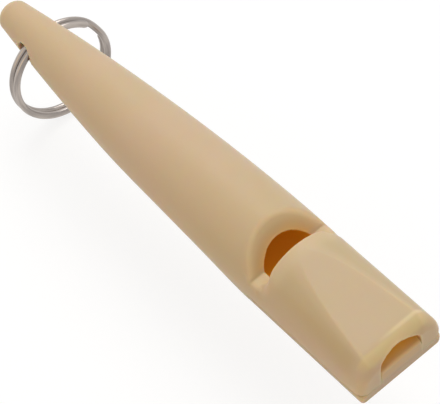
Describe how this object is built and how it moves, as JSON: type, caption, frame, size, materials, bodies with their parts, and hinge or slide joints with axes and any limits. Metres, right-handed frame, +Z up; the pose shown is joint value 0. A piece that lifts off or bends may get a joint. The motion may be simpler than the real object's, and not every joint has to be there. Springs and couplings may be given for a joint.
{
  "type": "dog whistle",
  "caption": "Tapered moulded plastic dog whistle with a flat-based mouthpiece, a sound window on top and a wire split ring through the tail.",
  "frame": {"origin": "middle of the mouthpiece's flat underside", "axes": "+X along the whistle from the tail to the mouth, +Y across it, +Z up from the flat underside to the sound window"},
  "size_m": [0.08, 0.016, 0.0213],
  "materials": {
    "body_plastic": "satin moulded beige",
    "block_plastic": "satin moulded beige",
    "ring_steel": "bright nickel-plated wire"
  },
  "bodies": {
    "whistle": {"whistle_body": "body_plastic", "fipple_block": "block_plastic"},
    "ring": {"split_ring": "ring_steel"}
  },
  "joints": [
    {"name": "ring_swing", "type": "hinge", "parent": "whistle", "child": "ring", "pos_m": [-0.0617, 0, 0.00165], "axis": [0, 1, 0], "range_deg": [-58, 248]}
  ]
}
